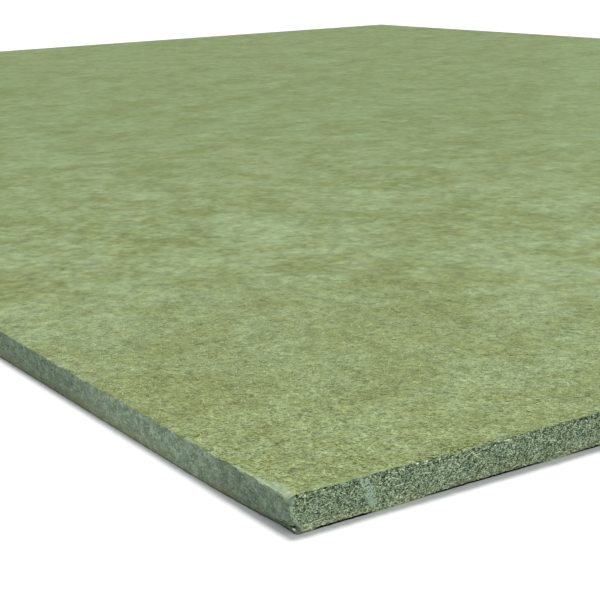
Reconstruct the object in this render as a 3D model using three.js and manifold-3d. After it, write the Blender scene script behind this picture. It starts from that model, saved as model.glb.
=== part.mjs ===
// Floor levelling fibreboard: one pressed sheet of green-dyed wood fibre, laid loose
// under a floating floor to take up small unevenness. Millimetres, +Z up.
//
// Frame: origin at the middle of the underside, +X along the 790 mm side, +Y along the
// 590 mm side, +Z out of the top face. The sheet lies flat as it would on a floor.
//
// The sheet is one homogeneous piece. Its outline is sawn: each side is straight to about
// a tenth of a millimetre, with its middle stretch exactly on the nominal line, every arris
// is slightly eased and every corner is blunted. The corner at +X, -Y carries handling
// damage: a crushed upper arris along the long side, and at the foot of that side a worn
// lower arris with a short split in the fibre above it.
import * as THREE from "three";
import { mergeVertices } from "three/addons/utils/BufferGeometryUtils.js";
import Module from "manifold-3d";

// ---- driving dimensions -------------------------------------------------------------
const LENGTH = 790; // along X
const WIDTH = 590; // along Y
const THICK = 5.5; // along Z

const ARRIS = 0.22; // easing of every top and bottom arris
const WANDER = 0.14; // how far the saw line falls inside the nominal outline
const STATION = 16; // spacing of the points along a side
const TRUE_HALF = 45; // half of the stretch at the middle of a side that is dead straight

// Blunting of the corners, in plan: radius at (-X,-Y), (+X,-Y), (+X,+Y), (-X,+Y)
const BLUNT = [1.3, 1.6, 1.0, 1.7];
const BLUNT_STEPS = 4;

// Crushed arris along the long side at the (+X,-Y) corner
const CRUSH_LENGTH = 22; // measured along the long side from the corner
const CRUSH_RUN = 1.3; // how far it reaches into the top face at the corner
const CRUSH_DROP = 0.24; // how far it drops down the side at the corner

// Worn lower arris of the long side at the same corner: the bottom layer of fibre stands
// back a little from the face
const WORN_LENGTH = 8;
const WORN_BACK = 0.3; // how far it stands back at the corner
const WORN_HEIGHT = 0.72; // height of the worn layer half way along
const WORN_SLOPE = 0.05; // it gets taller towards the corner

// Split in the fibre where that layer meets the sound face
const SPLIT_FROM_CORNER = 2.3; // middle of the split
const SPLIT_HALF_LENGTH = 2.6;
const SPLIT_DEPTH = 1.0;
const SPLIT_HALF_HEIGHT = 0.1;
const SPLIT_Z = 0.84;
const SPLIT_SLOPE = 0.07; // it rises towards the corner

// ---- a repeatable wander ------------------------------------------------------------
function makeRandom(seed) {
  let s = seed >>> 0;
  return () => {
    s = (Math.imul(s, 1664525) + 1013904223) >>> 0;
    return s / 4294967296;
  };
}
const random = makeRandom(7091);

// Offsets inside the nominal line for one side of the given half length: zero over the
// middle stretch and at the two ends of the side's run, and a slow wander elsewhere.
function sideStations(half, blunt0, blunt1) {
  const from = -half + blunt0,
    to = half - blunt1;
  const stations = [];
  const count = Math.round((to - from) / STATION);
  let level = 0;
  for (let i = 0; i <= count; i += 1) {
    const t = from + ((to - from) * i) / count;
    level = 0.6 * level + 0.4 * random();
    const away = Math.max(0, Math.abs(t) - TRUE_HALF) / (half - TRUE_HALF);
    const fade = Math.min(1, away * 5);
    stations.push({ t, inset: Math.abs(t) <= TRUE_HALF ? 0 : fade * level * WANDER * 2 });
  }
  return stations;
}

// ---- outline ------------------------------------------------------------------------
const hx = LENGTH / 2,
  hy = WIDTH / 2;
const outline = [];
// Each side runs counter-clockwise: start corner, direction, inward normal, half length.
const sides = [
  { mid: [0, -hy], dir: [1, 0], inward: [0, 1], half: hx, b: [BLUNT[0], BLUNT[1]] },
  { mid: [hx, 0], dir: [0, 1], inward: [-1, 0], half: hy, b: [BLUNT[1], BLUNT[2]] },
  { mid: [0, hy], dir: [-1, 0], inward: [0, -1], half: hx, b: [BLUNT[2], BLUNT[3]] },
  { mid: [-hx, 0], dir: [0, -1], inward: [1, 0], half: hy, b: [BLUNT[3], BLUNT[0]] },
];
const runs = sides.map((side) =>
  sideStations(side.half, side.b[0], side.b[1]).map(({ t, inset }) => [
    side.mid[0] + side.dir[0] * t + side.inward[0] * inset,
    side.mid[1] + side.dir[1] * t + side.inward[1] * inset,
  ]),
);
runs.forEach((run, i) => {
  outline.push(...run);
  // The blunted corner between this side and the next, as a short quadratic arc.
  const a = run[run.length - 1],
    b = runs[(i + 1) % 4][0];
  const corner = i % 2 === 0 ? [b[0], a[1]] : [a[0], b[1]];
  const arc = new THREE.QuadraticBezierCurve(
    new THREE.Vector2(...a),
    new THREE.Vector2(...corner),
    new THREE.Vector2(...b),
  );
  for (let k = 1; k < BLUNT_STEPS; k += 1) {
    const p = arc.getPoint(k / BLUNT_STEPS);
    outline.push([p.x, p.y]);
  }
});

const sheet = new THREE.Shape(outline.map(([x, y]) => new THREE.Vector2(x, y)));
const slab = new THREE.ExtrudeGeometry(sheet, {
  steps: 1,
  depth: THICK - 2 * ARRIS,
  bevelEnabled: true,
  bevelThickness: ARRIS,
  bevelSize: ARRIS,
  bevelOffset: -ARRIS,
  bevelSegments: 1,
});
slab.translate(0, 0, ARRIS);

// ---- handling damage ----------------------------------------------------------------
const wasm = await Module();
wasm.setup();

function toSolid(geometry) {
  const bare = geometry.index ? geometry.toNonIndexed() : geometry.clone();
  bare.deleteAttribute("normal");
  bare.deleteAttribute("uv");
  const merged = mergeVertices(bare, 1e-4);
  return new wasm.Manifold(
    new wasm.Mesh({
      numProp: 3,
      vertProperties: merged.attributes.position.array,
      triVerts: new Uint32Array(merged.index.array),
    }),
  );
}

function toGeometry(solid) {
  const mesh = solid.getMesh();
  const geometry = new THREE.BufferGeometry();
  const position = new Float32Array(mesh.numVert * 3);
  for (let i = 0; i < mesh.numVert; i += 1)
    for (let k = 0; k < 3; k += 1)
      position[3 * i + k] = mesh.vertProperties[mesh.numProp * i + k];
  geometry.setAttribute("position", new THREE.BufferAttribute(position, 3));
  geometry.setIndex(new THREE.BufferAttribute(new Uint32Array(mesh.triVerts), 1));
  geometry.computeVertexNormals();
  return geometry;
}

// The crushed arris: a shallow sloping cut that is widest at the corner and runs out along
// the long side. The cutter is a box whose underside is the sloping face.
const runEnd = new THREE.Vector3(hx, -hy + CRUSH_RUN, THICK);
const dropEnd = new THREE.Vector3(hx, -hy, THICK - CRUSH_DROP);
const runOut = new THREE.Vector3(hx - CRUSH_LENGTH, -hy, THICK);
const along = runEnd.clone().sub(runOut).normalize();
const up = new THREE.Vector3()
  .crossVectors(along, dropEnd.clone().sub(runOut))
  .normalize();
if (up.z < 0) up.negate();
const across = new THREE.Vector3().crossVectors(up, along);
const crush = new THREE.BoxGeometry(CRUSH_LENGTH * 4, 24, 3);
crush.translate(0, 0, 1.5);
crush.applyMatrix4(
  new THREE.Matrix4().makeBasis(along, across, up).setPosition(runOut),
);

// The worn lower arris: a long thin triangle in plan, taken out of the underside's edge.
const wornPlan = new THREE.Shape([
  new THREE.Vector2(-WORN_LENGTH, -0.02),
  new THREE.Vector2(-WORN_LENGTH * 0.62, 0.24 * WORN_BACK),
  new THREE.Vector2(-WORN_LENGTH * 0.3, 0.42 * WORN_BACK),
  new THREE.Vector2(-WORN_LENGTH * 0.12, 0.62 * WORN_BACK),
  new THREE.Vector2(-0.4, WORN_BACK),
  new THREE.Vector2(1, WORN_BACK * 1.15),
  new THREE.Vector2(1, -2),
  new THREE.Vector2(-WORN_LENGTH, -2),
]);
const worn = new THREE.ExtrudeGeometry(wornPlan, {
  steps: 1,
  depth: 3,
  bevelEnabled: false,
});
worn.translate(WORN_LENGTH / 2, 0, -3);
worn.rotateY(-WORN_SLOPE);
worn.translate(hx - WORN_LENGTH / 2, -hy, WORN_HEIGHT);

// The split: a flat lens let into the long side.
const split = new THREE.SphereGeometry(1, 14, 8);
split.rotateX(Math.PI / 2);
split.scale(SPLIT_HALF_LENGTH, SPLIT_DEPTH, SPLIT_HALF_HEIGHT);
split.rotateY(-SPLIT_SLOPE);
split.translate(hx - SPLIT_FROM_CORNER, -hy, SPLIT_Z);

const body = toSolid(slab)
  .subtract(toSolid(crush))
  .subtract(toSolid(worn))
  .subtract(toSolid(split));

// ---- the part -----------------------------------------------------------------------
const fibre = new THREE.MeshStandardMaterial({
  color: new THREE.Color(0.3, 0.37, 0.19),
  roughness: 0.95,
  metalness: 0,
});

const board = new THREE.Mesh(toGeometry(body), fibre);
board.name = "board";

const part = new THREE.Group();
part.add(board);

export default part;
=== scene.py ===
import math

import bpy
import numpy as np
from mathutils import Matrix, Vector


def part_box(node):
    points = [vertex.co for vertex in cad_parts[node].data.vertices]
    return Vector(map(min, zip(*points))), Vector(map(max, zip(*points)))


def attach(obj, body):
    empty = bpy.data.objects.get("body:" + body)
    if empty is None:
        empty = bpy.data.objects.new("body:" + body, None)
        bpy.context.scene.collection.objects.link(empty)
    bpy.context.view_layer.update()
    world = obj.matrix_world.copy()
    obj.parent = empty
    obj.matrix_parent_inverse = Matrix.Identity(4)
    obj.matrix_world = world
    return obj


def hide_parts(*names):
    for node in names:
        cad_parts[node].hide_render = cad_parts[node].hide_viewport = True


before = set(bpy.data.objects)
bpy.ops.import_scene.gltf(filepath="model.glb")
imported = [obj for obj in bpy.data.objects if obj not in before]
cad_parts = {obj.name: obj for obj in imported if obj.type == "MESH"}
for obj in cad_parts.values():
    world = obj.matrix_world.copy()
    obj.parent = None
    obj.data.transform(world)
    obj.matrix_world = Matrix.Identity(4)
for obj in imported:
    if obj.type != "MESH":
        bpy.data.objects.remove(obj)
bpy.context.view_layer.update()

MM = 0.001
RNG = np.random.default_rng(5507)

# ---------------------------------------------------------------------------------------
# Camera, at the viewing angle of the reference
# ---------------------------------------------------------------------------------------
cam_data = bpy.data.cameras.new("camera")
cam = bpy.data.objects.new("camera", cam_data)
bpy.context.scene.collection.objects.link(cam)
cam_data.sensor_width = 36.0
cam_data.lens = 85.2
cam_data.clip_start = 0.01
cam_data.clip_end = 60.0
turn = Matrix(
    (
        (0.5426305, -0.1954846, 0.8169075),
        (0.8395194, 0.1581197, -0.5198127),
        (-0.0275538, 0.9678760, 0.2499137),
    )
).to_4x4()
cam.matrix_world = Matrix.Translation((0.544748, -0.387577, 0.078014)) @ turn
bpy.context.scene.camera = cam

# ---------------------------------------------------------------------------------------
# Sizes, in millimetres. The box comes from the CAD node.
# ---------------------------------------------------------------------------------------
low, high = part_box("board")
HX = 0.5 * (high.x - low.x) / MM
HY = 0.5 * (high.y - low.y) / MM
T = (high.z - low.z) / MM


# ---------------------------------------------------------------------------------------
# Value noise in numpy, for relief and for where fibres lie
# ---------------------------------------------------------------------------------------
def _hash(ix, iy, iz, seed):
    h = (
        ix.astype(np.int64) * 374761393
        + iy.astype(np.int64) * 668265263
        + iz.astype(np.int64) * 2147483647
        + seed * 1274126177
    ) & 0xFFFFFFFF
    h = ((h ^ (h >> 13)) * 1274126177) & 0xFFFFFFFF
    h = h ^ (h >> 16)
    return (h & 0xFFFFFF).astype(np.float64) / float(0xFFFFFF)


def noise(x, y, z, seed=0):
    """Smooth noise in -1..1 on a unit grid."""
    x, y, z = np.broadcast_arrays(
        np.asarray(x, float), np.asarray(y, float), np.asarray(z, float)
    )
    fx, fy, fz = np.floor(x), np.floor(y), np.floor(z)
    tx, ty, tz = x - fx, y - fy, z - fz
    tx, ty, tz = (t * t * (3 - 2 * t) for t in (tx, ty, tz))
    out = 0
    for dx in (0, 1):
        for dy in (0, 1):
            for dz in (0, 1):
                w = (
                    (tx if dx else 1 - tx)
                    * (ty if dy else 1 - ty)
                    * (tz if dz else 1 - tz)
                )
                out = out + w * _hash(fx + dx, fy + dy, fz + dz, seed)
    return out * 2 - 1


def fbm(x, y, z, octaves=3, seed=0):
    total, amp, norm = 0, 1.0, 0.0
    for k in range(octaves):
        total = total + amp * noise(x * 2**k, y * 2**k, z * 2**k, seed + 17 * k)
        norm += amp
        amp *= 0.55
    return total / norm


def smooth(a, b, x):
    t = np.clip((np.asarray(x, float) - a) / (b - a), 0, 1)
    return t * t * (3 - 2 * t)


# ---------------------------------------------------------------------------------------
# The board: one closed mesh
# ---------------------------------------------------------------------------------------
def graded(length, first, growth, flat, most, end_first=None, second=None):
    """Distances from 0 to length, fine at 0 and growing, and fine again at the far end.

    second is (distance, growth) of a faster growth further out."""
    at, d = [0.0], 0.0
    while d < length:
        h = first if d < flat else first + growth * (d - flat)
        if second is not None and d > second[0]:
            h += second[1] * (d - second[0])
        h = min(h, most)
        if end_first is not None:
            h = min(h, end_first + 0.25 * max(0.0, length - d))
        d += h
        at.append(d)
    at = np.array(at)
    return at * (length / at[-1])


def side_stations():
    """Stations on the sharp rectangle, counter-clockwise from (-HX,-HY)."""
    loops = []
    # -Y side, towards the detailed corner at +X
    d = graded(2 * HX, 0.22, 0.0013, 12, 6.0, 0.5, (106, 0.07))
    s = HX - d[::-1]
    loops.append((0, s[:-1]))
    # +X side, away from the detailed corner
    d = graded(2 * HY, 0.15, 0.0012, 30, 6.0, 0.5, (60, 0.06))
    loops.append((1, (-HY + d)[:-1]))
    # +Y side, from +X to -X
    d = graded(2 * HX, 0.5, 0.08, 3, 6.0, 0.5)
    loops.append((2, (HX - d)[:-1]))
    # -X side, from +Y to -Y
    d = graded(2 * HY, 0.5, 0.08, 3, 6.0, 0.5)
    loops.append((3, (HY - d)[:-1]))
    return loops


NORMALS = np.array([[0, -1], [1, 0], [0, 1], [-1, 0]], float)
CORNERS = np.array([[-HX, -HY], [HX, -HY], [HX, HY], [-HX, HY]], float)
# reach along the side before, along the side after, and how flat the blunting is
BLUNT = ((1.3, 1.3, 0.1), (0.85, 0.85, 0.25), (1.0, 1.0, 0.1), (1.7, 1.7, 0.1))

# Below: d is the distance from the detailed corner along the long side, b along the
# short side.


def wrap_reach(z):
    """How far the smooth cut wraps on to the rough side round that corner, in mm."""
    return np.interp(
        z,
        (0.0, 0.9, 1.6, 2.5, 3.5, 4.0, 4.5, 5.3),
        (1.75, 1.55, 1.15, 0.55, 0.12, 0.3, 0.72, 0.9),
    )


def foot_back(side, p, z):
    """How far the foot of the long side stands back next to that corner, in mm."""
    d, b = HX - p[:, 0], p[:, 1] + HY
    run = np.interp(
        d, (0, 1.35, 4.2, 7, 9, 14, 20, 28), (0.90, 0.97, 1.02, 0.80, 0.62, 0.34, 0.14, 0.0)
    )
    run = np.where(side == 0, run, 0.90 * smooth(2.6, 0.0, b))
    return np.where(side <= 1, run, 0.0) * smooth(1.9, -0.3, z)


def blunt_share(z):
    """The corners are a little sharper at the foot."""
    return 0.6 + 0.4 * smooth(1.2, 4.2, z)


def arris_back(side, p):
    """Extra wear of the upper arris: (how far it stands back, how far it drops), in mm."""
    b = p[:, 1] + HY
    back = np.interp(
        b, (0, 0.5, 1.6, 2.4, 5, 9, 15, 18.5, 22, 30), (0, 0.05, 0.4, 0.45, 0.2, 0.15, 0.25, 0.4, 0.1, 0.1)
    )
    drop = np.interp(
        b, (0, 1.5, 18, 22.5, 26, 32, 38, 46), (0, -0.08, -0.12, 0.14, 0.36, 0.18, 0.05, 0.0)
    )
    return np.where(side == 1, back, 0.0), np.where(side == 1, drop, 0.0)


def arris_wave(side, p):
    """Slow waves and nibbles of the upper arris, in mm inwards."""
    along = np.where((side == 0) | (side == 2), p[:, 0], p[:, 1])
    ragged = smooth(-0.2, 0.8, noise(along / 0.8, 0.4, side * 5.0, 43))
    wobble = 0.5 + 0.5 * noise(along / 4.5, 0.9, side * 5.0, 46)
    wave = smooth(-0.3, 0.7, noise(along / 1.7, 0.2, side * 5.0, 61))
    wave = wave * np.where(side == 0, smooth(34.0, 16.0, HX - p[:, 0]), 0.0)
    share = np.where(side == 0, 0.08, np.where(side == 1, 0.22, 0.14))
    return share * ragged + 0.10 * wobble + 0.20 * wave, ragged


def flare(side, p, z):
    """The foot of the short side stands a little proud next to the detailed corner."""
    b = p[:, 1] + HY
    return np.where(side == 1, 0.32 * smooth(26.0, 8.0, b) * smooth(1.0, 0.1, z), 0.0)


CHIPS = ((14.2, 1.2, 0.40), (21.0, 1.0, 0.38), (27.6, 1.3, 0.42), (34.0, 0.7, 0.32))


def crush_width(x):
    """Width of the pale crushed band along the upper arris of the long side, in mm."""
    d = HX - x
    wide = np.interp(
        d,
        (-1.0, 0.0, 1.2, 2.5, 5.0, 7.0, 9.0, 11.6, 13.6, 17.0, 20.0),
        (0.9, 1.0, 1.75, 2.35, 2.45, 1.65, 0.85, 0.45, 0.28, 0.12, 0.0),
    )
    chips = 0.42 * smooth(0.15, 0.6, noise(x / 2.4, 0.3, 0.7, 41))
    chips = chips * smooth(36.0, 42.0, d) * smooth(160.0, 90.0, d)
    for at, half, width in CHIPS:
        chips = np.maximum(chips, width * smooth(half + 0.5, half - 0.4, np.abs(d - at)))
    return wide + chips


def band(x, y):
    """0..1: pale crushed band on the top face."""
    w = crush_width(x) * (1 + 0.35 * noise(x / 0.9, y / 0.9, 0.1, 45))
    b = y + HY
    return smooth(w + 0.25, w * 0.6 - 0.05, b) * smooth(0.02, 0.25, w)


def contact(side, p):
    """0..1: where a gap shows between the lower arris and the floor; there the arris is worn back and its foot is
    painted near-black, as painted shade.
    """
    b = p[:, 1] + HY
    d = HX - p[:, 0]
    on_y = 0.34 + 0.22 * smooth(24.0, 14.0, d) * smooth(0.6, 2.0, d)
    on_x = 0.4 * smooth(0.9, 1.4, b) + 0.6 * smooth(3.2, 4.8, b)
    on_x = on_x * smooth(14.2, 12.6, b)
    on_x = on_x + smooth(22.0, 25.0, b) * smooth(47.0, 43.0, b)
    out = smooth(-0.1, 0.35, noise((p[:, 0] + p[:, 1]) / 11.0, 0.4, side * 2.0, 47))
    on_x = on_x + out * smooth(48.0, 54.0, b)
    return np.where(side == 1, on_x, np.where(side == 0, on_y, 0.7 * out))


side_id, pos2, s_len = [], [], []
for k, s in side_stations():
    if k == 0:
        p = np.stack([s, np.full_like(s, -HY)], 1)
    elif k == 1:
        p = np.stack([np.full_like(s, HX), s], 1)
    elif k == 2:
        p = np.stack([s, np.full_like(s, HY)], 1)
    else:
        p = np.stack([np.full_like(s, -HX), s], 1)
    pos2.append(p)
    side_id.append(np.full(len(s), k))
pos2 = np.concatenate(pos2)
side_id = np.concatenate(side_id)
N = len(pos2)


def blunted(p, side, share):
    """Sharp-rectangle points moved onto the blunted outline; share scales the radius."""
    out = p.copy()
    nrm = NORMALS[side].copy()
    for c in range(4):
        # how far the blunting reaches along the side before and the side after
        b_prev = BLUNT[c][0] * share
        b_next = BLUNT[c][1] * share
        v = p - CORNERS[c]
        # unit vectors along the two sides, from the corner
        prev_dir = np.array({0: (0, 1), 1: (-1, 0), 2: (0, -1), 3: (1, 0)}[c], float)
        next_dir = np.array({0: (1, 0), 1: (0, 1), 2: (-1, 0), 3: (0, -1)}[c], float)
        along_next = v @ next_dir
        along_prev = v @ prev_dir
        on_next = along_next >= along_prev
        d = np.where(on_next, along_next, along_prev)
        b = np.where(on_next, b_next, b_prev)
        near = d < b
        if not near.any():
            continue
        u = 0.5 * (1 - d[near] / b[near])  # 0 at the tangent point, 0.5 at the corner
        own = np.where(on_next[near][:, None], next_dir, prev_dir)
        other = np.where(on_next[near][:, None], prev_dir, next_dir)
        b_own = b[near][:, None]
        b_oth = np.where(on_next[near], b_prev, b_next)[:, None]
        pull = BLUNT[c][2]
        q0, q2 = CORNERS[c] + own * b_own, CORNERS[c] + other * b_oth
        q1 = CORNERS[c] * (1 - pull) + 0.5 * (q0 + q2) * pull
        uu = u[:, None]
        out[near] = (1 - uu) ** 2 * q0 + 2 * uu * (1 - uu) * q1 + uu**2 * q2
        n_own = -other
        n_oth = -own
        w = uu  # 0.5 at the corner, so both normals count the same there
        nn = (1 - w) * n_own + w * n_oth
        nrm[near] = nn / np.linalg.norm(nn, axis=1)[:, None]
    return out, nrm


# Distance from the detailed corner along each of its two sides
dist_corner = np.hypot(pos2[:, 0] - HX, pos2[:, 1] + HY)
on_left = side_id == 0
on_right = side_id == 1
along = np.where((side_id == 0) | (side_id == 2), pos2[:, 0], pos2[:, 1])

# Rows down the side, as height above the underside
ROWS = np.concatenate(
    [
        np.array([T]),
        np.linspace(T - 0.12, 1.58, 23),
        np.linspace(1.46, 0.11, 13),
        np.array([0.0]),
    ]
)
# Rows on the top face, as distance in from the edge
INSETS = np.array([2.6, 1.9, 1.35, 0.95, 0.62, 0.36, 0.17])


def side_relief(i_side, a, z):
    """Depth of the side below its nominal plane, in mm, positive inwards. a runs along."""
    left = i_side == 0
    right = i_side == 1
    # rough, pitted cut: stretched along the sheet
    g1 = noise(a / 0.60, z / 0.40, 3.1 + 0 * z, 11)
    g2 = noise(a / 0.34, z / 0.28, 7.7 + 0 * z, 12)
    g3 = noise(a / 0.22, z / 0.20, 1.3 + 0 * z, 13)
    slow = fbm(a / 8.0, z / 2.6, 0.3 + 0 * z, 2, 14)
    pit = smooth(0.15, 0.7, noise(a / 0.50, z / 0.36, 5.2 + 0 * z, 15))
    under = smooth(T - 1.3, T - 0.5, z) * smooth(T - 0.05, T - 0.25, z)
    rough = (
        0.14
        + 0.05 * g1
        + 0.065 * g2
        + 0.055 * g3
        + 0.06 * slow
        + pit * (0.14 + 0.24 * under)
    )
    # knife cut: nearly flush, gently uneven, with small nicks
    s1 = noise(a / 1.1, z / 0.65, 2.2 + 0 * z, 21)
    s2 = noise(a / 0.45, z / 0.30, 9.2 + 0 * z, 22)
    s3 = fbm(a / 6.0, z / 2.0, 4.2 + 0 * z, 2, 23)
    nick = smooth(0.35, 0.8, noise(a / 0.7, z / 0.35, 6.2 + 0 * z, 24))
    cut = 0.06 + 0.02 * s1 + 0.028 * s2 + 0.05 * s3 + 0.09 * nick
    return np.where(left, cut, np.where(right, rough, 0.6 * rough + 0.4 * cut))


def top_relief(x, y):
    """Height of the top face against nominal, in mm."""
    a = fbm(x / 1.5, y / 1.5, 0.5, 3, 31)
    b = noise(x / 7.0, y / 7.0, 0.2, 32)
    c = noise(x / 0.6, y / 0.6, 0.9, 33)
    far = np.hypot(HX - x, y + HY)
    near = smooth(75.0, 25.0, far)
    return 0.05 * a * near + 0.035 * b * smooth(200.0, 90.0, far) + 0.03 * c * near - 0.06


verts, faces = [], []

# --- rings, from the innermost ring on top, out over the arris, down, and in underneath
rings = []


def crush_profile(x):
    """0..1 along the long side: how crushed the upper arris is there."""
    return np.clip(crush_width(x) / 1.6, 0, 1)


band_v, wrap_v, split_shade_v, contact_v = [], [], [], []
contact_at = contact(side_id, pos2)


def signed_wrap(z0):
    """Distance past the edge of the wrapped cut: below 0 is knife cut, above is rough."""
    b = np.clip(pos2[:, 1] + HY - wrap_reach(z0), -3.0, 3.0)
    return np.where(on_right, b, np.where(on_left, -3.0, 3.0))


for w in INSETS:
    inner = pos2.copy()
    fx, fy = (HX - w) / HX, (HY - w) / HY
    inner[:, 0] *= fx
    inner[:, 1] *= fy
    outer, nrm = blunted(pos2, side_id, 1.0)
    blend = w / INSETS[0]
    # close to the edge the ring follows the blunted outline, further in the sharp one
    q = outer - nrm * w
    p = inner * blend + q * (1 - blend)
    near_corner = np.abs(np.abs(pos2) - np.array([HX, HY])).max(1) < 3.0
    p = np.where(near_corner[:, None], p, inner)
    z = T + top_relief(p[:, 0], p[:, 1])
    # eased and crushed arris
    ease = 0.10 * np.exp(-w / 0.25)
    lip = np.where(side_id == 0, crush_profile(pos2[:, 0]), 0.0)
    z = z - ease - lip * 0.16 * np.exp(-w / 0.8)
    # ragged arris: little bites
    bite = smooth(0.15, 0.75, noise(along / 0.75, w / 0.8, side_id * 3.0, 42))
    z = z - 0.14 * bite * np.exp(-w / 0.35) * (1 - 0.7 * lip)
    wear_back, wear_drop = arris_back(side_id, pos2)
    z = z - wear_drop * np.exp(-w / 0.7)
    p = p - nrm * (wear_back * np.exp(-w / 0.6))[:, None]
    rings.append(np.column_stack([p, z]))
    band_v.append(band(p[:, 0], p[:, 1]))
    wrap_v.append(signed_wrap(T))
    split_shade_v.append(np.zeros(N))
    contact_v.append(contact_at)

for z0 in ROWS:
    p, nrm = blunted(pos2, side_id, blunt_share(z0))
    p[:, 1] += foot_back(side_id, pos2, z0)
    p[:, 0] += flare(side_id, pos2, z0)
    zz = np.full(N, z0)
    zz_c = np.clip(zz, 0.0, T)
    depth = side_relief(side_id, along, zz_c)
    wear_back, wear_drop = arris_back(side_id, pos2)
    # rough and smooth sides run into each other round the blunted corner
    past = signed_wrap(z0)
    wrap = smooth(-0.1, 1.0, np.where(on_right, past, 9.0))
    cutd = side_relief(np.zeros(N, int), along, zz_c)
    depth = np.where(on_right, wrap * depth + (1 - wrap) * cutd, depth)
    top_row = z0 >= T - 1e-6
    bottom_row = z0 <= 1e-6
    if top_row:
        wave, ragged = arris_wave(side_id, pos2)
        depth = depth * 0.45 + 0.03 + wave
        lip = np.where(side_id == 0, crush_profile(pos2[:, 0]), 0.0)
        zz = T - 0.14 - 0.16 * ragged - 0.10 * lip + top_relief(p[:, 0], p[:, 1])
        zz = zz - wear_drop
        depth = depth + wear_back
    elif z0 > T - 0.5:
        lip = np.where(side_id == 0, crush_profile(pos2[:, 0]), 0.0)
        keep = (T - z0) / 0.5
        wave, ragged = arris_wave(side_id, pos2)
        zz = z0 - (0.17 + 0.16 * ragged + 0.10 * lip + wear_drop) * (1 - keep)
        depth = depth + (0.8 * wave + wear_back) * (1 - keep)
    # lower arris: worn back a little where a gap shows under it; the gap's shade is painted near-black in the material
    if bottom_row:
        depth = 0.04 + 0.5 * depth * contact_at
        depth = depth + 0.05 * contact_at + 0.04 * noise(along / 1.1, 0.0, side_id * 2.0, 44)
        zz = np.zeros(N)
    elif z0 < 0.3:
        depth = depth * (0.45 + 0.55 * contact_at) + 0.12 * contact_at * smooth(0.3, 0.15, z0)
    # split at the detailed corner, from the long side round to the short one
    dsplit = np.where(on_left, HX - pos2[:, 0], -np.abs(pos2[:, 1] + HY))
    line = np.interp(
        dsplit, (-2.0, -0.9, 0.0, 0.5, 3.0, 4.0, 6.0), (0.8, 0.98, 1.16, 1.10, 0.80, 0.70, 0.55)
    )
    line = line + 0.04 * noise(along / 0.7, 0.0, 3.3, 48)
    in_run = smooth(4.5, 3.7, dsplit) * smooth(-1.15, -0.8, dsplit)
    in_run = np.where(on_left | on_right, in_run, 0)
    slot = np.exp(-(((zz - line) / 0.15) ** 2)) * in_run
    below = smooth(line + 0.02, line - 0.12, zz) * smooth(0.0, 0.15, zz) * in_run
    # a short fine crack above it
    crack = np.exp(-(((zz - line - 0.52) / 0.11) ** 2))
    crack = crack * np.where(on_left, smooth(2.9, 2.3, dsplit) * smooth(0.4, 0.9, dsplit), 0.0)
    depth = depth + 0.10 * below + 0.75 * slot + 0.22 * crack
    p = p - nrm * np.maximum(depth, 0.0)[:, None]
    rings.append(np.column_stack([p, zz]))
    wrap_v.append(past)
    # painted shade: the split and the crack above it are painted dark
    split_shade_v.append(np.clip(np.maximum(2.1 * slot - 0.15, 0.55 * crack), 0, 1))
    contact_v.append(contact_at)
    # the crushed fibre runs down the side in streaks next to the corner
    streak = 0.5 + 0.5 * noise(along / 0.55, 0.6, 2.0, 62)
    streak = 0.9 * streak * np.where(on_left, smooth(5.0, 1.0, HX - pos2[:, 0]), 0.0)
    lipband = smooth(T - 0.10 - 0.45 * crush_profile(pos2[:, 0]) - streak, T - 0.05, z0)
    turned = smooth(1.4, 0.7, pos2[:, 1] + HY)
    lipband = lipband * np.where(on_left, 1.0, np.where(on_right, turned, 0.0))
    band_v.append(lipband * smooth(0.1, 0.5, crush_width(pos2[:, 0])))

# underside: in from the edge, then flat
for w, z0 in ((0.6, 0.0), (1.3, 0.0)):
    p = pos2.copy()
    p[:, 0] *= (HX - w) / HX
    p[:, 1] *= (HY - w) / HY
    if w < 1:
        q, nrm = blunted(pos2, side_id, 1.0)
        q = q - nrm * w
        near_corner = np.abs(np.abs(pos2) - np.array([HX, HY])).max(1) < 3.0
        p = np.where(near_corner[:, None], 0.8 * q + 0.2 * p, p)
    p[:, 1] += foot_back(side_id, pos2, z0)
    rings.append(np.column_stack([p, np.full(N, z0)]))
    band_v.append(np.zeros(N))
    wrap_v.append(signed_wrap(0.0))
    split_shade_v.append(np.zeros(N))
    contact_v.append(np.zeros(N))

R = len(rings)
ring_v = np.concatenate(rings)
idx = np.arange(R * N).reshape(R, N)
a = idx[:-1]
b = idx[1:]
nxt = np.roll(np.arange(N), -1)
quads = np.stack([a, b, b[:, nxt], a[:, nxt]], -1).reshape(-1, 4)


def zipper(outer_idx, outer_s, inner_idx, inner_s, flip=False):
    """Triangles between two rows of points that run the same way, both sorted by s."""
    tris = []
    i = j = 0
    while i < len(outer_idx) - 1 or j < len(inner_idx) - 1:
        if j == len(inner_idx) - 1 or (
            i < len(outer_idx) - 1 and outer_s[i + 1] <= inner_s[j + 1]
        ):
            tris.append((outer_idx[i], outer_idx[i + 1], inner_idx[j]))
            i += 1
        else:
            tris.append((outer_idx[i], inner_idx[j + 1], inner_idx[j]))
            j += 1
    tris = np.array(tris)
    return tris[:, ::-1] if flip else tris


def lines(half, first, growth, toward_positive):
    d = graded(2 * half, first, growth, 0.0, 14.0, first * 2)
    return (half - d)[::-1] if toward_positive else -half + d


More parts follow.
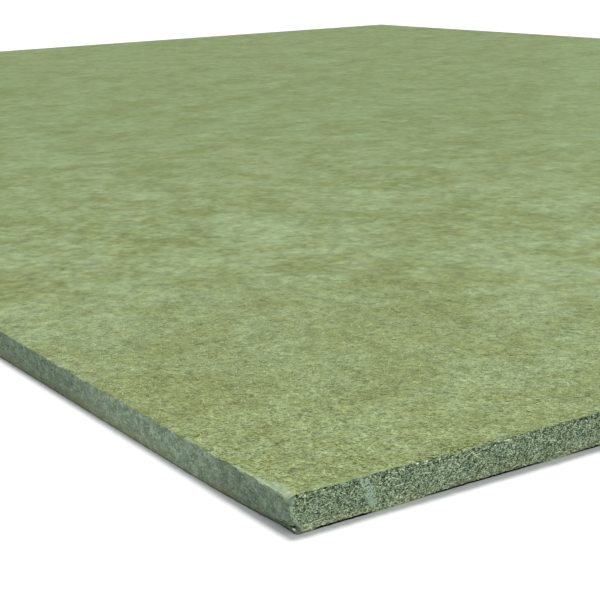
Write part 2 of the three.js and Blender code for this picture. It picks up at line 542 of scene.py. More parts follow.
def panel(ring_index, inset, z_of, xs, ys, up):
    """The inner grid of the top or the underside, zipped to a ring."""
    gx, gy = np.meshgrid(xs, ys, indexing="ij")
    base = len(ring_v) + sum(len(v) for v in extra_v)
    pts = np.column_stack([gx.ravel(), gy.ravel(), z_of(gx.ravel(), gy.ravel())])
    extra_v.append(pts)
    band_v.append(band(pts[:, 0], pts[:, 1]) if up else np.zeros(len(pts)))
    for other_v in (wrap_v, split_shade_v, contact_v):
        other_v.append(np.zeros(len(pts)))
    g = base + np.arange(gx.size).reshape(gx.shape)
    q = np.stack([g[:-1, :-1], g[1:, :-1], g[1:, 1:], g[:-1, 1:]], -1).reshape(-1, 4)
    extra_q.append(q if up else q[:, ::-1])
    ring = idx[ring_index]
    start = {k: np.where(side_id == k)[0][0] for k in range(4)}
    for k in range(4):
        members = np.where(side_id == k)[0]
        last = start[(k + 1) % 4]
        members = np.append(members, last)
        o = ring[members]
        p = pos2[members]
        if k == 0:
            os_, inn, is_ = p[:, 0], g[:, 0], xs
        elif k == 1:
            os_, inn, is_ = p[:, 1], g[-1, :], ys
        elif k == 2:
            os_, inn, is_ = -p[:, 0], g[::-1, -1], -xs[::-1]
        else:
            os_, inn, is_ = -p[:, 1], g[0, ::-1], -ys[::-1]
        os_ = np.array(os_, float)
        extra_t.append(zipper(o, os_, inn, is_, flip=not up))


extra_v, extra_q, extra_t = [], [], []
w_in = INSETS[0] + 0.7
xs = lines(HX - w_in, 0.46, 0.0200, True)
ys = lines(HY - w_in, 0.46, 0.0200, False)
panel(0, w_in, lambda x, y: T + top_relief(x, y), xs, ys, True)
xs2 = np.linspace(-HX + 3, HX - 3, 40)
ys2 = np.linspace(-HY + 3, HY - 3, 30)
panel(R - 1, 3.0, lambda x, y: 0 * x, xs2, ys2, False)

all_v = np.concatenate([ring_v] + extra_v) * MM
all_q = np.concatenate([quads] + extra_q)
all_t = np.concatenate(extra_t)


def make_mesh(name, v, q=None, t=None, smooth_shade=True):
    me = bpy.data.meshes.new(name)
    nq = 0 if q is None else len(q)
    nt = 0 if t is None else len(t)
    me.vertices.add(len(v))
    me.vertices.foreach_set("co", np.asarray(v, np.float32).ravel())
    loops = []
    if nq:
        loops.append(np.asarray(q).ravel())
    if nt:
        loops.append(np.asarray(t).ravel())
    loops = np.concatenate(loops).astype(np.int32)
    me.loops.add(len(loops))
    me.loops.foreach_set("vertex_index", loops)
    me.polygons.add(nq + nt)
    starts = np.concatenate([np.arange(nq) * 4, nq * 4 + np.arange(nt) * 3])
    totals = np.concatenate([np.full(nq, 4), np.full(nt, 3)])
    me.polygons.foreach_set("loop_start", starts.astype(np.int32))
    me.polygons.foreach_set("loop_total", totals.astype(np.int32))
    me.update(calc_edges=True)
    me.polygons.foreach_set("use_smooth", np.full(nq + nt, smooth_shade))
    me.validate()
    ob = bpy.data.objects.new(name, me)
    bpy.context.scene.collection.objects.link(ob)
    return ob


board = make_mesh("board_sheet", all_v, all_q, all_t)
for at_name, at_v in (
    ("band", band_v),
    ("wrap", wrap_v),
    ("dark", split_shade_v),
    ("contact", contact_v),
):
    at_layer = board.data.attributes.new(at_name, "FLOAT", "POINT")
    at_layer.data.foreach_set("value", np.concatenate(at_v).astype(np.float32))
print("board triangles", 2 * len(all_q) + len(all_t), "stations", N)


# ---------------------------------------------------------------------------------------
# Loose fibres: short tapered strands with a three-sided section, closed at both ends
# ---------------------------------------------------------------------------------------
def strands(name, origin, u, v, n, length, width, height, bend, lift, tint, points=4):
    """origin Mx3 mm; u along the strand, v across, n out of the surface (Mx3 each)."""
    m = len(origin)
    rings_in = points - 2
    t = np.linspace(-0.5, 0.5, points)
    taper = np.sqrt(np.clip(1 - (2 * t) ** 2, 0, 1)) * 0.7 + 0.3
    taper[0] = taper[-1] = 0.0
    co = np.zeros((m, 2 + 3 * rings_in, 3))
    k = 0
    for i in range(points):
        side = bend * ((2 * t[i]) ** 2 - 0.35) * length * 0.25
        wob = bend * np.sin(2 * np.pi * t[i] * 1.3 + 7 * tint) * length * 0.07
        c = (
            origin
            + u * (t[i] * length)[:, None]
            + v * (side + wob)[:, None]
            + n * (lift * (1 - (2 * t[i]) ** 2) - height * 0.30)[:, None]
        )
        if i in (0, points - 1):
            co[:, k] = c - n * (height * 0.25)[:, None]
            k += 1
        else:
            w = (width * taper[i] * 0.5)[:, None]
            h = (height * taper[i])[:, None]
            co[:, k] = c - v * w
            co[:, k + 1] = c + n * h
            co[:, k + 2] = c + v * w
            k += 3
    per = co.shape[1]
    tri = []
    first, last = 0, per - 1
    for r in range(rings_in):
        o = 1 + 3 * r
        if r == 0:
            tri += [(first, o + 1, o), (first, o + 2, o + 1), (first, o, o + 2)]
        if r < rings_in - 1:
            p = o + 3
            for s0, s1 in ((0, 1), (1, 2), (2, 0)):
                tri += [(o + s0, o + s1, p + s1), (o + s0, p + s1, p + s0)]
        else:
            tri += [(last, o, o + 1), (last, o + 1, o + 2), (last, o + 2, o)]
    tri = np.array(tri)
    allt = (tri[None] + (np.arange(m) * per)[:, None, None]).reshape(-1, 3)
    ob = make_mesh(name, co.reshape(-1, 3) * MM, None, allt)
    at = ob.data.attributes.new("tint", "FLOAT", "POINT")
    at.data.foreach_set("value", np.repeat(tint, per).astype(np.float32))
    print(name, "strands", m, "triangles", len(allt))
    return ob


def unit(v):
    return v / np.linalg.norm(v, axis=1)[:, None]


def top_fibres(name, count, seed, reach, core, len_rng, wid_rng, bend, tints, points):
    rng = np.random.default_rng(seed)
    # distance from the corner with a full-density core and a long fade
    x, y = [], []
    have = 0
    while have < count:
        px = HX - rng.random(60000) * reach
        py = -HY + rng.random(60000) * reach
        r = np.hypot(HX - px, py + HY)
        keep = rng.random(60000) < smooth(reach, core, r)
        px, py = px[keep], py[keep]
        x.append(px)
        y.append(py)
        have += len(px)
    x = np.concatenate(x)[:count]
    y = np.concatenate(y)[:count]
    edge_gap = 0.28
    ok = (x < HX - edge_gap) & (y > -HY + edge_gap)
    x, y = x[ok], y[ok]
    m = len(x)
    turn_ = fbm(x / 4.0, y / 4.0, 0.4, 2, seed + 1) * 2.5 + rng.normal(0, 1.1, m)
    ang = turn_ + 0.6
    u = np.stack([np.cos(ang), np.sin(ang), np.zeros(m)], 1)
    v = np.stack([-np.sin(ang), np.cos(ang), np.zeros(m)], 1)
    n = np.tile([0.0, 0, 1], (m, 1))
    length = len_rng[0] + (len_rng[1] - len_rng[0]) * rng.random(m) ** 1.8
    width = wid_rng[0] + (wid_rng[1] - wid_rng[0]) * rng.random(m)
    height = width * 0.28
    z = T + top_relief(x, y)
    d_edge = np.minimum(HX - x, y + HY)
    z = z - 0.10 * np.exp(-d_edge / 0.3)
    z = z - 0.16 * crush_profile(x) * np.exp(-(y + HY) / 0.8)
    origin = np.stack([x, y, z], 1)
    b = rng.normal(0, bend, m)
    lift = np.abs(rng.normal(0, 0.02, m))
    tint = tints[0] + (tints[1] - tints[0]) * rng.random(m)
    # crushed band at the arris has its fibres pressed flat, with no loose ones
    keep = rng.random(m) > 1.15 * band(x, y)
    # and none reaches out over an arris
    keep &= x + 0.5 * length * np.abs(np.cos(ang)) < HX + 0.05
    keep &= y - 0.5 * length * np.abs(np.sin(ang)) > -HY
    # away from the corner the face is smoother
    calm = smooth(6.0, 60.0, np.hypot(HX - x, y + HY))
    mean = 0.5 * (tints[0] + tints[1])
    tint = mean + (tint - mean) * (1 - 0.8 * calm)
    height = height * (1 - 0.75 * calm)
    sel = [origin, u, v, n, length, width, height, b, lift, tint]
    sel = [s[keep] for s in sel]
    return strands(name, *sel, points=points)


def right_fibres(name, count, seed, len_rng, wid_rng, tints, points, depth_rng, spread, bow):
    rng = np.random.default_rng(seed)
    reach = 150.0
    a = []
    have = 0
    while have < count:
        p = rng.random(20000) * reach
        keep = rng.random(20000) < smooth(reach, 62.0, p)
        a.append(p[keep])
        have += keep.sum()
    y = -HY + np.concatenate(a)[:count]
    m = len(y)
    z = 0.12 + (T - 0.34) * rng.random(m)
    keep = (y + HY) > wrap_reach(z) + 0.25 + 0.6 * rng.random(m)
    y, z = y[keep], z[keep]
    m = len(y)
    ang = rng.normal(0.05, spread, m)
    u = np.stack([np.zeros(m), np.cos(ang), np.sin(ang)], 1)
    v = np.stack([np.zeros(m), -np.sin(ang), np.cos(ang)], 1)
    n = np.tile([1.0, 0, 0], (m, 1))
    length = len_rng[0] + (len_rng[1] - len_rng[0]) * rng.random(m) ** 2
    length = np.minimum(length, 2.4)
    width = wid_rng[0] + (wid_rng[1] - wid_rng[0]) * rng.random(m)
    height = width * 0.45
    depth = side_relief(np.ones(m, int), y, z)
    out = depth_rng[0] + (depth_rng[1] - depth_rng[0]) * rng.random(m)
    origin = np.stack([HX - np.maximum(depth - out, 0.02), y, z], 1)
    b = rng.normal(0, bow, m)
    lift = np.abs(rng.normal(0, 0.02, m))
    tint = tints[0] + (tints[1] - tints[0]) * rng.random(m)
    low_room = z - 0.5 * length * np.abs(np.sin(ang)) - width
    # the smeared stretch has few loose fibres
    smeared = (np.abs(y + HY + 0.42 * z - 14.6) < 0.8) & (z > 0.8)
    ok = (low_room > 0.02) & ~(smeared & (rng.random(m) < 0.75))
    ok &= (y + HY) > 0.5 * length * np.abs(np.cos(ang)) + 0.2
    sel = [origin, u, v, n, length, width, height, b, lift, tint]
    sel = [s[ok] for s in sel]
    return strands(name, *sel, points=points)


def left_fibres(name, count, seed, len_rng, wid_rng, tints, points):
    rng = np.random.default_rng(seed)
    reach = 170.0
    a = []
    have = 0
    while have < count:
        p = rng.random(20000) * reach
        keep = rng.random(20000) < smooth(reach, 60.0, p)
        a.append(p[keep])
        have += keep.sum()
    x = HX - np.concatenate(a)[:count]
    m = len(x)
    z = 0.15 + (T - 0.5) * rng.random(m)
    keep = (HX - x) > 1.5
    x, z = x[keep], z[keep]
    m = len(x)
    ang = rng.normal(0, 0.9, m)
    u = np.stack([np.cos(ang), np.zeros(m), np.sin(ang)], 1)
    v = np.stack([-np.sin(ang), np.zeros(m), np.cos(ang)], 1)
    n = np.tile([0.0, -1, 0], (m, 1))
    length = len_rng[0] + (len_rng[1] - len_rng[0]) * rng.random(m) ** 2
    width = wid_rng[0] + (wid_rng[1] - wid_rng[0]) * rng.random(m)
    height = width * 0.25
    sides = np.zeros(m, int)
    back = foot_back(sides, np.stack([x, np.full(m, -HY)], 1), z)
    depth = side_relief(sides, x, z)
    origin = np.stack([x, -HY + np.maximum(depth, 0.02) + back, z], 1)
    b = rng.normal(0, 0.4, m)
    lift = np.zeros(m)
    tint = tints[0] + (tints[1] - tints[0]) * rng.random(m)
    ok = (z - 0.5 * length * np.abs(np.sin(ang)) - width > 0.05) & (
        z + 0.5 * length * np.abs(np.sin(ang)) + width < T - 0.2
    )
    # nothing lies across the split
    ok &= ~((HX - x < 5.4) & (z < 1.7))
    sel = [origin, u, v, n, length, width, height, b, lift, tint]
    sel = [s[ok] for s in sel]
    return strands(name, *sel, points=points)


pieces_top = [
    top_fibres("face_fibres_fine", 11500, 101, 140, 45, (0.5, 1.3), (0.20, 0.42), 0.5, (0.0, 0.75), 4),
    top_fibres("face_fibres_mid", 12500, 102, 140, 45, (0.7, 1.9), (0.25, 0.58), 0.6, (0.05, 0.85), 4),
    top_fibres("face_fibres_pale", 2600, 103, 140, 50, (0.9, 2.8), (0.14, 0.25), 1.1, (0.75, 1.0), 6),
]
pieces_right = [
    right_fibres("edge_fibres_right", 9500, 201, (0.20, 0.64), (0.12, 0.27), (0.05, 1.0), 4, (-0.02, 0.08), 0.45, 0.15),
    right_fibres("edge_fibres_right_long", 90, 202, (0.8, 2.4), (0.12, 0.20), (0.9, 1.0), 6, (0.08, 0.18), 0.20, 0.08),
]
pieces_left = [
    left_fibres("edge_fibres_left", 2500, 301, (0.25, 0.9), (0.10, 0.24), (0.2, 0.8), 4),
]


# ---------------------------------------------------------------------------------------
# Materials
# ---------------------------------------------------------------------------------------
def srgb(r, g, b):
    def f(c):
        c = c / 255.0
        return c / 12.92 if c <= 0.04045 else ((c + 0.055) / 1.055) ** 2.4

    return (f(r), f(g), f(b), 1.0)


class Net:
    """A short way to write a node tree."""

    def __init__(self, tree):
        self.t = tree
        self.x = 0

    def node(self, kind, **props):
        n = self.t.nodes.new(kind)
        self.x += 40
        n.location = (self.x, 0)
        for k, v in props.items():
            setattr(n, k, v)
        return n

    def link(self, a, b):
        self.t.links.new(a, b)

    def put(self, socket, value):
        if isinstance(value, bpy.types.NodeSocket):
            self.link(value, socket)
        else:
            socket.default_value = value

    def math(self, op, a, b=None, c=None, clamp=False):
        n = self.node("ShaderNodeMath", operation=op, use_clamp=clamp)
        self.put(n.inputs[0], a)
        if b is not None:
            self.put(n.inputs[1], b)
        if c is not None:
            self.put(n.inputs[2], c)
        return n.outputs[0]

    def vmath(self, op, a, b=None, scale=None):
        n = self.node("ShaderNodeVectorMath", operation=op)
        self.put(n.inputs[0], a)
        if b is not None:
            self.put(n.inputs[1], b)
        if scale is not None:
            self.put(n.inputs["Scale"], scale)
        return n.outputs["Value"] if op in ("DOT_PRODUCT", "LENGTH", "DISTANCE") else n.outputs[0]

    def ramp(self, fac, stops, interp="LINEAR"):
        n = self.node("ShaderNodeValToRGB")
        n.color_ramp.interpolation = interp
        el = n.color_ramp.elements
        while len(el) < len(stops):
            el.new(0.5)
        for e, (p, c) in zip(el, stops):
            e.position = p
            e.color = c if len(c) == 4 else (*c, 1.0)
        self.put(n.inputs[0], fac)
        return n.outputs[0]

    def step(self, x, lo, hi, a=0.0, b=1.0):
        n = self.node("ShaderNodeMapRange", interpolation_type="SMOOTHSTEP")
        self.put(n.inputs["Value"], x)
        n.inputs["From Min"].default_value = lo
        n.inputs["From Max"].default_value = hi
        n.inputs["To Min"].default_value = a
        n.inputs["To Max"].default_value = b
        return n.outputs[0]

    def mix(self, fac, a, b, blend="MIX"):
        n = self.node("ShaderNodeMix", data_type="RGBA", blend_type=blend, clamp_factor=True)
        self.put(n.inputs[0], fac)
        self.put(n.inputs[6], a)
        self.put(n.inputs[7], b)
        return n.outputs[2]

    def noise(self, vec, scale, detail=2.0, rough=0.5, dist=0.0, dims="3D"):
        n = self.node("ShaderNodeTexNoise", noise_dimensions=dims)
        self.put(n.inputs["Vector"], vec)
        n.inputs["Scale"].default_value = scale
        n.inputs["Detail"].default_value = detail
        n.inputs["Roughness"].default_value = rough
        n.inputs["Distortion"].default_value = dist
        return n.outputs["Fac"]

    def voronoi(self, vec, scale, feature="F1", rand=1.0, dims="3D"):
        n = self.node("ShaderNodeTexVoronoi", feature=feature, voronoi_dimensions=dims)
        self.put(n.inputs["Vector"], vec)
        n.inputs["Scale"].default_value = scale
        n.inputs["Randomness"].default_value = rand
        return n

    def combine(self, x, y, z):
        n = self.node("ShaderNodeCombineXYZ")
        self.put(n.inputs[0], x)
        self.put(n.inputs[1], y)
        self.put(n.inputs[2], z)
        return n.outputs[0]

    def separate(self, v):
        n = self.node("ShaderNodeSeparateXYZ")
        self.put(n.inputs[0], v)
        return n.outputs

    def strand_layer(self, vec2, size, long_, thin, spread, offset):
        """One short fibre in each Voronoi cell, each at its own angle.

        vec2 is in mm with z 0. Returns (mask, the cell's random value)."""
        moved = self.vmath("ADD", vec2, (offset, offset * 0.37, 0.0))
        vor = self.voronoi(moved, 1.0 / size, dims="2D", rand=0.9)
        rnd = self.separate(vor.outputs["Color"])
        scaled = self.vmath("SCALE", moved, scale=1.0 / size)
        local = self.vmath("SUBTRACT", scaled, self.vmath("SCALE", vor.outputs["Position"], scale=1.0 / size))
        lx, ly, _ = self.separate(local)
        ang = self.math("MULTIPLY_ADD", rnd[0], spread, -0.5 * spread)
        c, s = self.math("COSINE", ang), self.math("SINE", ang)
        p = self.math("ADD", self.math("MULTIPLY", lx, c), self.math("MULTIPLY", ly, s))
        q = self.math("SUBTRACT", self.math("MULTIPLY", ly, c), self.math("MULTIPLY", lx, s))
        # bow
        q = self.math("MULTIPLY_ADD", self.math("MULTIPLY", p, p), self.math("MULTIPLY_ADD", rnd[1], 2.4, -1.2), q)
        e = self.math(
            "ADD",
            self.math("POWER", self.math("ABSOLUTE", self.math("DIVIDE", p, long_)), 2.0),
            self.math("POWER", self.math("ABSOLUTE", self.math("DIVIDE", q, thin)), 2.0),
        )
        mask = self.step(e, 1.0, 0.25)
        return mask, rnd[2]


def fresh(name, rough=0.95, specular=0.15):
    mat = bpy.data.materials.new(name)
    mat.use_nodes = True
    tree = mat.node_tree
    tree.nodes.clear()
    net = Net(tree)
    out = net.node("ShaderNodeOutputMaterial")
    bsdf = net.node("ShaderNodeBsdfPrincipled")
    bsdf.inputs["Roughness"].default_value = rough
    bsdf.inputs["Specular IOR Level"].default_value = specular
    net.link(bsdf.outputs[0], out.inputs[0])
    return mat, net, bsdf


# Albedo anchors (linear), tuned against the rendered light
def col(r, g, b, k=1.0):
    c = srgb(r, g, b)
    return (c[0] * k, c[1] * k, c[2] * k, 1.0)


K = 0.80  # albedo for a wanted top-face colour
TOP_MEAN = col(148, 162, 114, K)


def mottling(net, pos):
    """Slow variation of the dye over the sheet, 0..1 about 0.5."""
    x, y, z = net.separate(pos)
    # turned off the axes of the sheet, so that no row of the noise runs along a sight line
    turned = net.combine(
        net.math("MULTIPLY_ADD", x, 0.83, net.math("MULTIPLY", y, 0.56)),
        net.math("MULTIPLY_ADD", y, 0.83, net.math("MULTIPLY", x, -0.56)),
        net.math("MULTIPLY_ADD", x, 0.31, net.math("MULTIPLY_ADD", y, 0.23, z)),
    )
    slow = net.noise(turned, 1 / 26.0, 3.0, 0.55, 0.6)
    mid = net.noise(turned, 1 / 7.5, 3.0, 0.6, 0.5)
    fine = net.noise(turned, 1 / 2.4, 2.0, 0.55)
    s = net.math("MULTIPLY_ADD", slow, 0.40, net.math("MULTIPLY_ADD", mid, 0.36, net.math("MULTIPLY", fine, 0.24)))
    corner_d = net.vmath("DISTANCE", net.combine(x, y, 0.0), (HX, -HY, 0.0))
    s = net.math("SUBTRACT", s, 0.5)
    return net.math("MULTIPLY_ADD", s, net.step(corner_d, 140.0, 480.0, 1.0, 0.6), 0.5)


def mm_position(net):
    tc = net.node("ShaderNodeTexCoord")
    return net.vmath("SCALE", tc.outputs["Object"], scale=1000.0)


def flakes(net, pos):
    """Light and dark flakes of the face, broader away from the detailed corner; about 1.

    Returns (the factor, the distance from that corner in mm)."""
    x, y, _ = net.separate(pos)
    corner_d = net.vmath("DISTANCE", net.combine(x, y, 0.0), (HX, -HY, 0.0))
    total = 1.0
    turned = net.combine(
        net.math("MULTIPLY_ADD", x, 0.75, net.math("MULTIPLY", y, 0.66)),
        net.math("MULTIPLY_ADD", y, 0.75, net.math("MULTIPLY", x, -0.66)),
        net.math("MULTIPLY_ADD", x, 0.19, net.math("MULTIPLY", y, 0.37)),
    )
    for size, lo, hi, a, b in (
        (0.50, 10.0, 90.0, 0.50, 0.0),
        (1.10, 10.0, 110.0, 0.85, 0.45),
        (2.60, 30.0, 150.0, 0.40, 0.85),
        (7.00, 60.0, 260.0, 0.22, 0.38),
    ):
        n = net.noise(turned, 1 / size, 1.0, 0.5, 0.4)
        n = net.math("SUBTRACT", n, 0.5)
        much = net.step(corner_d, lo, hi, a, b)
        if size < 3.0:
            much = net.math("MULTIPLY", much, net.step(corner_d, 120.0, 330.0, 1.0, 0.15 * size))
        total = net.math("MULTIPLY_ADD", n, much, total)
    # painted shade: a few darker gaps between the flakes near that corner
    gap = net.noise(turned, 1 / 1.0, 2.0, 0.6, 0.8)
    gap = net.step(gap, 0.61, 0.71, 0.0, 0.42)
    gap = net.math("MULTIPLY", gap, net.step(corner_d, 150.0, 40.0))
    return net.math("SUBTRACT", total, gap), corner_d


def board_material():
    mat, net, bsdf = fresh("fibreboard_sheet")
    pos = mm_position(net)
    x, y, z = net.separate(pos)
    geo = net.node("ShaderNodeNewGeometry")
    nx, ny, nz = net.separate(geo.outputs["Normal"])

    # ---- top and underside
    flat = net.combine(x, y, 0.0)
    m = mottling(net, pos)
    top = net.ramp(
        m,
        [
            (0.36, col(132, 142, 88, K)),
            (0.45, col(141, 153, 101, K)),
            (0.52, col(150, 165, 117, K)),
            (0.62, col(160, 179, 134, K)),
        ],
    )
    shade_sum = None
    flake, corner_d = flakes(net, pos)
    # painted shade: darker olive in the gaps between the fibres near the detailed corner, fading out further off
    fibre_gap_shade = net.noise(pos, 1 / 0.5, 3.0, 0.6)
    fibre_gap_shade = net.math("MULTIPLY", net.step(fibre_gap_shade, 0.52, 0.34), net.step(corner_d, 30.0, 160.0, 1.0, 0.0))
    top = net.mix(fibre_gap_shade, top, net.mix(0.62, top, col(84, 94, 50, K)))
    calm = net.step(corner_d, 15.0, 180.0, 0.55, 0.0)
    for k, (size, lo_, th_) in enumerate(
        ((0.95, 0.62, 0.13), (1.25, 0.66, 0.10), (0.7, 0.6, 0.17), (1.6, 0.68, 0.07))
    ):
        mask, rnd = net.strand_layer(flat, size, lo_, th_, 6.2832, 13.7 * (k + 1))
        tone = net.ramp(
            rnd,
            [
                (0.0, col(104, 116, 66, K)),
                (0.3, col(136, 150, 98, K)),
                (0.7, col(168, 186, 138, K)),
                (1.0, col(196, 210, 166, K)),
            ],
        )
        top = net.mix(net.math("MULTIPLY", mask, calm), top, tone)
        shade_sum = mask if shade_sum is None else net.math("ADD", shade_sum, mask)
    top = net.vmath("SCALE", top, scale=flake)
    # painted light and shade: the top is lighter near the detailed corner and towards its +Y side, and darker further
    # from that corner, as the light falls off over the sheet
    top = net.mix(net.step(corner_d, 120.0, 20.0), top, net.mix(1.0, top, (1.12, 1.09, 1.03, 1.0), "MULTIPLY"))
    top = net.mix(net.step(corner_d, 70.0, 190.0), top, net.mix(1.0, top, (0.92, 0.932, 0.915, 1.0), "MULTIPLY"))
    painted_light_right = net.step(net.math("ADD", net.math("ADD", y, HY), net.math("SUBTRACT", x, HX)), -10.0, 45.0)
    top = net.mix(painted_light_right, top, net.mix(1.0, top, (1.05, 1.06, 1.08, 1.0), "MULTIPLY"))
    top = net.mix(net.step(corner_d, 150.0, 430.0), top, net.mix(1.0, top, (0.90, 0.945, 0.91, 1.0), "MULTIPLY"))

    # pale fuzz along the upper arris of the rough side
    rim = net.math("MULTIPLY", net.step(x, HX - 1.0, HX - 0.25), net.step(net.noise(pos, 1 / 1.2, 3.0, 0.6), 0.42, 0.58, 0.15, 0.8))
    top = net.mix(rim, top, col(160, 178, 146, K))

    # ---- rough cut sides
    along_cut = net.combine(
        net.math("MULTIPLY", x, 0.72), net.math("MULTIPLY", y, 0.72), net.math("MULTIPLY", z, 1.3)
    )
    g = net.noise(along_cut, 1 / 0.27, 2.0, 0.7)
    KR = K * 2.26
    rough = net.ramp(
        g,
        [
            (0.31, col(18, 26, 17, KR)),
            (0.43, col(70, 84, 60, KR)),
            (0.52, col(118, 134, 108, KR)),
            (0.62, col(150, 166, 138, KR)),
            (0.74, col(184, 196, 168, KR)),
        ],
    )
    # painted shade: dark pits, most of them right under the upper arris
    pit_shade = net.noise(net.combine(x, y, net.math("MULTIPLY", z, 1.3)), 1 / 0.5, 1.0, 0.5)
    under = net.math("MULTIPLY", net.step(z, T - 1.7, T - 0.6), net.step(z, T - 0.05, T - 0.3))
    pit_shade = net.math("MULTIPLY_ADD", under, 0.10, pit_shade)
    rough = net.mix(net.step(pit_shade, 0.60, 0.72, 0.0, 0.85), rough, col(30, 40, 26, KR))
    # slow change of depth and hue along the cut
    drift = net.noise(pos, 1 / 2.6, 2.0, 0.6)
    rough = net.mix(net.step(drift, 0.54, 0.70), rough, net.mix(1.0, rough, (0.62, 0.72, 0.72, 1.0), "MULTIPLY"))
    rough = net.mix(net.step(drift, 0.46, 0.32), rough, net.mix(1.0, rough, (1.28, 1.22, 1.22, 1.0), "MULTIPLY"))
    low = net.step(z, 2.2, 0.4)
    rough = net.mix(net.math("MULTIPLY", low, 0.10), rough, col(166, 171, 144, KR))
    rough = net.mix(net.math("MULTIPLY", low, 0.9), rough, net.mix(1.0, rough, (1.28, 1.21, 1.13, 1.0), "MULTIPLY"))
    # a smeared stretch, paler and smoother than the rest
    lean = net.math("MULTIPLY_ADD", z, 0.42, net.math("ADD", y, HY))
    lean = net.math("ADD", lean, net.math("MULTIPLY_ADD", net.noise(pos, 1 / 1.3, 2.0, 0.6), 2.6, -1.3 - 14.6))
    smear = net.math("MULTIPLY", net.step(net.math("ABSOLUTE", lean), 1.0, 0.25), net.step(z, 0.5, 1.1))
    rough = net.mix(net.math("MULTIPLY", smear, 0.78), rough, col(136, 156, 136, KR))

    # ---- knife-cut side
    KC = K * 1.30
    tall = net.combine(x, y, net.math("MULTIPLY", z, 1.7))
    g2 = net.noise(tall, 1 / 2.2, 3.0, 0.6)
    cut = net.ramp(
        g2,
        [
            (0.34, col(90, 105, 83, KC)),
            (0.50, col(108, 125, 104, KC)),
            (0.66, col(130, 147, 125, KC)),
        ],
    )
    speck = net.noise(tall, 1 / 0.5, 2.0, 0.65)
    cut = net.mix(net.step(speck, 0.54, 0.68, 0.0, 0.85), cut, col(66, 82, 60, KC))
    cut = net.mix(net.step(speck, 0.44, 0.28, 0.0, 0.85), cut, col(150, 168, 146, KC))
    foot = net.math("MULTIPLY", net.step(z, 2.6, 0.2), net.step(net.noise(pos, 1 / 6.0, 2.0, 0.5), 0.36, 0.58))
    foot = net.math("MULTIPLY", foot, net.step(x, HX - 3.0, HX - 12.0, 0.15, 0.62))
    cut = net.mix(foot, cut, col(118, 118, 90, KC))
    # the middle of the stretch that faces the reference is lighter
    lighter = net.math("MULTIPLY", net.step(x, HX - 14.0, HX - 26.0), net.step(x, HX - 74.0, HX - 54.0))
    cut = net.mix(lighter, cut, net.mix(1.0, cut, (1.44, 1.40, 1.42, 1.0), "MULTIPLY"))

    # ---- where each finish shows
    facing_up = net.step(net.math("ABSOLUTE", nz), 0.45, 0.75)
    # the knife cut wraps a little round the blunted corner
    wrap_at = net.node("ShaderNodeAttribute", attribute_name="wrap")
    wrap_n = net.math("MULTIPLY_ADD", net.noise(pos, 1 / 0.6, 2.0, 0.6), 1.2, -0.6)
    past = net.math("ADD", wrap_at.outputs["Fac"], wrap_n)
    sides = net.mix(net.step(past, -0.15, 0.35), cut, rough)
    border = net.step(net.math("ABSOLUTE", past), 0.30, 0.06, 0.0, 0.75)
    sides = net.mix(border, sides, col(158, 177, 150, KC))
    # painted shade: near-black in the gap over the floor and in the split at the detailed corner
    contact_at = net.node("ShaderNodeAttribute", attribute_name="contact")
    split_shade_at = net.node("ShaderNodeAttribute", attribute_name="dark")
    low_n = net.math("MULTIPLY_ADD", net.noise(pos, 1 / 0.7, 2.0, 0.5), 0.16, -0.08)
    gap_shade = net.step(net.math("ADD", z, low_n), 0.27, 0.17)
    gap_shade = net.math("MULTIPLY", gap_shade, contact_at.outputs["Fac"])
    dark = net.math("MAXIMUM", gap_shade, split_shade_at.outputs["Fac"])
    level = net.math("MAXIMUM", net.step(z, T - 0.75, T - 0.40), net.step(z, 0.06, 0.01))
    color = net.mix(net.math("MULTIPLY", facing_up, level), sides, top)
    color = net.mix(dark, color, (0.010, 0.013, 0.008, 1.0))
    # a pale fleck on the lip below the split
    fleck = net.vmath("DISTANCE", pos, (HX - 0.10, -HY + 0.72, 0.66))
    color = net.mix(net.step(fleck, 0.34, 0.20), color, col(190, 210, 172, K * 1.55))

    # ---- pale crushed arris on the long side
    pale_at = net.node("ShaderNodeAttribute", attribute_name="band")
    pn = net.noise(pos, 1 / 1.1, 3.0, 0.6)
    pale = net.ramp(
        pn,
        [
            (0.36, col(146, 166, 134, K)),
            (0.50, col(166, 184, 152, K)),
            (0.64, col(190, 205, 180, K)),
        ],
    )
    pale = net.mix(net.step(pale_at.outputs["Fac"], 0.9, 0.4), pale, col(166, 181, 142, K))
    # palest right along the arris
    crest = net.math("MULTIPLY", net.step(y, -HY + 0.85, -HY + 0.35), 0.42)
    pale = net.mix(crest, pale, col(184, 206, 174, K))
    wisp = net.step(net.noise(pos, 1 / 0.45, 3.0, 0.65), 0.38, 0.54, 0.45, 0.95)
    color = net.mix(net.math("MULTIPLY", pale_at.outputs["Fac"], wisp), color, pale)

    net.link(color, bsdf.inputs["Base Color"])

    # ---- fine relief
    h1 = net.noise(pos, 1 / 0.28, 3.0, 0.6)
    height = net.math("MULTIPLY_ADD", shade_sum, 0.5, h1)
    height = net.math("MULTIPLY", height, net.step(corner_d, 30.0, 160.0, 1.0, 0.12))
    bump = net.node("ShaderNodeBump")
    bump.inputs["Strength"].default_value = 0.6
    bump.inputs["Distance"].default_value = 0.00006
    net.link(height, bump.inputs["Height"])
    net.link(bump.outputs[0], bsdf.inputs["Normal"])
    return mat


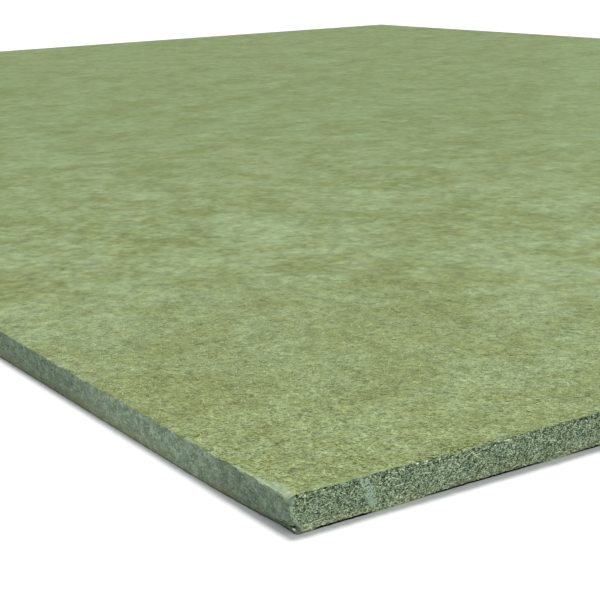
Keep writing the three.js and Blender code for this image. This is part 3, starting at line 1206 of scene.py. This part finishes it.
def fibre_material(name, stops, contrast_noise=0.5, on_face=False):
    mat, net, bsdf = fresh(name)
    pos = mm_position(net)
    at = net.node("ShaderNodeAttribute", attribute_name="tint")
    tone = net.ramp(at.outputs["Fac"], stops)
    m = mottling(net, pos)
    tone = net.mix(net.step(m, 0.53, 0.40, 0.0, 0.6), tone, net.mix(1.0, tone, (0.86, 0.84, 0.66, 1.0), "MULTIPLY"))
    tone = net.mix(net.step(m, 0.50, 0.62, 0.0, 0.6), tone, net.mix(1.0, tone, (1.06, 1.10, 1.22, 1.0), "MULTIPLY"))
    grain = net.noise(pos, 1 / 0.16, 2.0, 0.6)
    tone = net.mix(net.step(grain, 0.55, 0.35, 0.0, contrast_noise), tone, net.mix(1.0, tone, (0.7, 0.7, 0.66, 1.0), "MULTIPLY"))
    if on_face:
        flake, corner_d = flakes(net, pos)
        tone = net.vmath("SCALE", tone, scale=flake)
    net.link(tone, bsdf.inputs["Base Color"])
    bump = net.node("ShaderNodeBump")
    bump.inputs["Strength"].default_value = 0.4
    bump.inputs["Distance"].default_value = 0.00003
    net.link(grain, bump.inputs["Height"])
    net.link(bump.outputs[0], bsdf.inputs["Normal"])
    return mat


sheet_mat = board_material()
top_mat = fibre_material(
    "fibres_face",
    [
        (0.0, col(116, 128, 78, K * 1.22)),
        (0.35, col(148, 162, 110, K * 1.22)),
        (0.75, col(167, 183, 134, K * 1.22)),
        (1.0, col(206, 216, 172, K * 1.22)),
    ],
    0.35,
    True,
)
right_mat = fibre_material(
    "fibres_rough_edge",
    [
        (0.0, col(40, 52, 34, K * 2.3)),
        (0.4, col(104, 120, 94, K * 2.3)),
        (0.8, col(146, 161, 136, K * 2.3)),
        (1.0, col(186, 198, 172, K * 2.3)),
    ],
)
left_mat = fibre_material(
    "fibres_cut_edge",
    [
        (0.0, col(92, 110, 90, K * 1.28)),
        (0.5, col(112, 130, 112, K * 1.28)),
        (1.0, col(136, 154, 134, K * 1.28)),
    ],
    0.3,
)

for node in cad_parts.values():
    node.data.materials.clear()
    node.data.materials.append(sheet_mat)
board.data.materials.append(sheet_mat)
for o in pieces_top:
    o.data.materials.append(top_mat)
for o in pieces_right:
    o.data.materials.append(right_mat)
for o in pieces_left:
    o.data.materials.append(left_mat)

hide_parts("board")
for o in [board, *pieces_top, *pieces_right, *pieces_left]:
    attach(o, "root")

# ---------------------------------------------------------------------------------------
# Floor and light
# ---------------------------------------------------------------------------------------
floor = make_mesh(
    "floor",
    np.array([[-30, -30, 0], [30, -30, 0], [30, 30, 0], [-30, 30, 0]], float),
    np.array([[0, 1, 2, 3]]),
    None,
    False,
)
floor.location.z = -0.00003
floor_mat, fnet, fb = fresh("pale_floor", 1.0, 0.0)
fb.inputs["Base Color"].default_value = (0.87, 0.87, 0.875, 1.0)
floor.data.materials.append(floor_mat)

sun_data = bpy.data.lights.new("key", "SUN")
sun_data.energy = 2.45
sun_data.angle = math.radians(15)
sun = bpy.data.objects.new("key", sun_data)
bpy.context.scene.collection.objects.link(sun)
to_sun = Vector((-0.35, 0.185, 1.0)).normalized()
sun.rotation_mode = "QUATERNION"
sun.rotation_quaternion = to_sun.to_track_quat("Z", "Y")

world = bpy.data.worlds.new("studio")
bpy.context.scene.world = world
world.use_nodes = True
wt = world.node_tree
wt.nodes.clear()
wnet = Net(wt)
wout = wnet.node("ShaderNodeOutputWorld")
fill = wnet.node("ShaderNodeBackground")
fill.inputs["Color"].default_value = (0.97, 0.985, 1.0, 1.0)
fill.inputs["Strength"].default_value = 0.60
seen = wnet.node("ShaderNodeBackground")
seen.inputs["Color"].default_value = (1.0, 1.0, 1.0, 1.0)
seen.inputs["Strength"].default_value = 1.0
path = wnet.node("ShaderNodeLightPath")
both = wnet.node("ShaderNodeMixShader")
wnet.link(path.outputs["Is Camera Ray"], both.inputs[0])
wnet.link(fill.outputs[0], both.inputs[1])
wnet.link(seen.outputs[0], both.inputs[2])
wnet.link(both.outputs[0], wout.inputs[0])

scene = bpy.context.scene
scene.view_settings.view_transform = "Standard"
scene.view_settings.look = "None"
scene.view_settings.exposure = 0.0
scene.view_settings.gamma = 1.0
